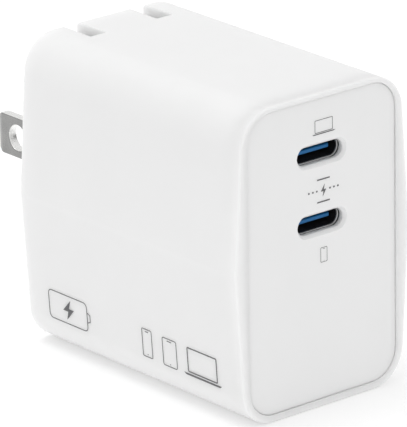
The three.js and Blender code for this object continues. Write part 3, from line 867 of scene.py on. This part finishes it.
def plated_blade(name, colour):
    """Drawn grain on the flat faces; the sheared edges, the tip and the hole's wall get a painted highlight
    and the flat faces a painted shade, chosen by which way the surface faces.
    """
    shader = Shader(name)
    streaks = shader.noise(0.08 * MM, 5.0, (1, 0.12, 1))
    patches = shader.noise(2.5 * MM, 3.0)
    parts = shader.node("ShaderNodeSeparateXYZ")
    shader.link(shader.normal, parts.inputs["Vector"])
    sideways = shader.node("ShaderNodeMath")
    sideways.operation = "ABSOLUTE"
    shader.link(parts.outputs["X"], sideways.inputs[0])
    on_face = shader.node("ShaderNodeMapRange")
    on_face.inputs["From Min"].default_value = 0.5
    on_face.inputs["From Max"].default_value = 0.65
    shader.link(sideways.outputs["Value"], on_face.inputs["Value"])
    painted_face_shade_and_patches = shader.node("ShaderNodeMath")
    painted_face_shade_and_patches.operation = "MULTIPLY"
    shader.link(on_face.outputs["Result"], painted_face_shade_and_patches.inputs[0])
    shader.link(shader.ramp(patches, 0.92, 1.0), painted_face_shade_and_patches.inputs[1])
    # Painted light: the colour is lighter on the edges, tip and hole wall and darker on the flat faces, by
    # the surface's facing, with a faint random tone over the faces.
    shader.colour(painted_face_shade_and_patches.outputs["Value"], tint(colour, 2.3), tint(colour, 0.7))
    shader.roughness(streaks, 0.21, 0.35)
    shader.bump([(streaks, 0.5, 0.002 * MM), (patches, 0.2, 0.004 * MM)])
    shader.bsdf.inputs["Metallic"].default_value = 1.0
    return shader.material


def circuit_board(name, colour):
    """Solder mask with fine copper tracks showing as slightly raised lighter lines."""
    shader = Shader(name)
    brick = shader.node("ShaderNodeTexBrick")
    brick.inputs["Scale"].default_value = 260.0
    brick.inputs["Mortar Size"].default_value = 0.03
    brick.inputs["Color1"].default_value = (0.2, 0.2, 0.2, 1)
    brick.inputs["Color2"].default_value = (0.5, 0.5, 0.5, 1)
    brick.inputs["Mortar"].default_value = (1, 1, 1, 1)
    shader.link(shader.coord, brick.inputs["Vector"])
    shader.colour(brick.outputs["Color"], tint(colour, 0.8), tint(colour, 2.2))
    fine = shader.noise(0.3 * MM)
    shader.roughness(fine, 0.35, 0.5)
    shader.bump([(brick.outputs["Fac"], 0.6, 0.03 * MM), (fine, 0.3, 0.004 * MM)])
    return shader.material


def wound_wire(name, colour):
    """Turns of enamelled wire, as fine rounded ridges, with painted shade in the grooves between turns and
    a painted highlight on the ridge tops.
    """
    shader = Shader(name)
    wave = shader.node("ShaderNodeTexWave")
    wave.wave_type = "RINGS"
    wave.rings_direction = "SPHERICAL"
    wave.inputs["Scale"].default_value = 700.0
    wave.inputs["Distortion"].default_value = 0.6
    shader.link(shader.coord, wave.inputs["Vector"])
    # Painted light: the colour follows the ridges' height, darker in the grooves and lighter on the tops.
    shader.colour(wave.outputs["Fac"], tint(colour, 0.55), tint(colour, 1.15))
    shader.roughness(shader.noise(0.4 * MM), 0.25, 0.4)
    shader.bump([(wave.outputs["Fac"], 0.8, 0.1 * MM)])
    shader.bsdf.inputs["Metallic"].default_value = 1.0
    return shader.material


def floor_material():
    shader = Shader("floor_white")
    shader.colour(shader.noise(0.4, 2.0), (0.79, 0.79, 0.79), (0.81, 0.81, 0.81))
    shader.roughness(shader.noise(0.02), 0.75, 0.85)
    shader.bsdf.inputs["Specular IOR Level"].default_value = 0.2
    shader.bsdf.inputs["Emission Color"].default_value = (1, 1, 1, 1)
    shader.bsdf.inputs["Emission Strength"].default_value = FLOOR_GLOW
    return shader.material


def record_colour(slot):
    for entry in frame["record"]["materials"]:
        if entry["slot"] == slot:
            return tuple(entry["base_color"][:3])
    raise ValueError(slot)


RECIPES = {
    "housing_white": lambda n, c: plastic(n, c, 0.38, 0.16 * MM, 0.012, 0.003 * MM, 0.15, 1.0, 2.2 * MM),
    "panel_white": lambda n, c: plastic(n, tint(c, 1.06), 0.48, 0.12 * MM, 0.012, 0.004 * MM, 0.0, 0.5),
    "cradle_white": lambda n, c: plastic(n, c, 0.5, 0.2 * MM),
    "hub_grey": lambda n, c: plastic(n, c, 0.45, 0.2 * MM),
    "moulded_black": lambda n, c: plastic(n, c, 0.5, 0.15 * MM, 0.15),
    "tongue_blue": lambda n, c: plastic(n, (c[0] * 0.2, c[1] * 0.8, c[2] * 0.85), 0.6, 0.1 * MM, 0.08),
    "print_grey": lambda n, c: plastic(n, c, 0.6, 0.06 * MM, 0.1, 0.001 * MM),
    "prong_nickel": plated_blade,
    "socket_steel": lambda n, c: metal(n, c, 0.3, (0.15, 1, 0.15)),
    "screw_steel": lambda n, c: metal(n, c, 0.35, (1, 1, 1)),
    "spring_bronze": lambda n, c: metal(n, c, 0.3, (1, 0.2, 0.2)),
    "capacitor_can": lambda n, c: metal(n, c, 0.3, (1, 0.1, 1)),
    "spreader_aluminium": lambda n, c: metal(n, c, 0.4, (1, 0.1, 1)),
    "circuit_board": circuit_board,
    "winding_copper": wound_wire,
    "wire_black": lambda n, c: plastic(n, c, 0.5, 0.3 * MM, 0.1),
    "wire_white": lambda n, c: plastic(n, c, 0.5, 0.3 * MM),
    "ferrite": lambda n, c: plastic(n, c, 0.75, 0.1 * MM, 0.2, 0.02 * MM),
    "winding_tape": lambda n, c: plastic(n, c, 0.35, 0.5 * MM, 0.1),
    "capacitor_sleeve": lambda n, c: plastic(n, c, 0.35, 0.4 * MM, 0.15),
    "film_capacitor": lambda n, c: plastic(n, c, 0.4, 0.3 * MM, 0.06),
    "disc_ceramic": lambda n, c: plastic(n, c, 0.3, 0.5 * MM, 0.1, 0.03 * MM, 0.4),
    "fuse_ceramic": lambda n, c: plastic(n, c, 0.5, 0.2 * MM, 0.1),
    "chip_black": lambda n, c: plastic(n, c, 0.6, 0.08 * MM, 0.15, 0.01 * MM),
    "inductor_grey": lambda n, c: plastic(n, c, 0.7, 0.12 * MM, 0.15, 0.02 * MM),
    "pad_silicone": lambda n, c: plastic(n, c, 0.7, 0.3 * MM, 0.05),
    "film_clear": lambda n, c: plastic(n, c, 0.4, 0.6 * MM, 0.04),
}


made_materials = {}


def material_for(slot):
    """The slot's material, made the first time that it is asked for."""
    if slot not in made_materials:
        made_materials[slot] = RECIPES[slot](f"{slot}_look", record_colour(slot))
    return made_materials[slot]


def paint_cad_nodes():
    """CAD nodes that stay shown get the material of their slot."""
    slots = {entry["node"]: entry["material_slot"] for entry in frame["record"]["subparts"]}
    for name, node in frame["nodes"].items():
        if not node.hide_render:
            node.data.materials.clear()
            node.data.materials.append(material_for(slots[name]))


make_camera()
make_stage()
build_housing()
build_panel()
for socket_place in PLACES:
    build_shell(socket_place)
    build_painted_shade_cup(socket_place)
    build_tongue(socket_place)
    build_contacts(socket_place)
build_blade(-1, "left")
build_blade(1, "right")
build_hub()
build_front_print()
build_side_print()
paint_cad_nodes()
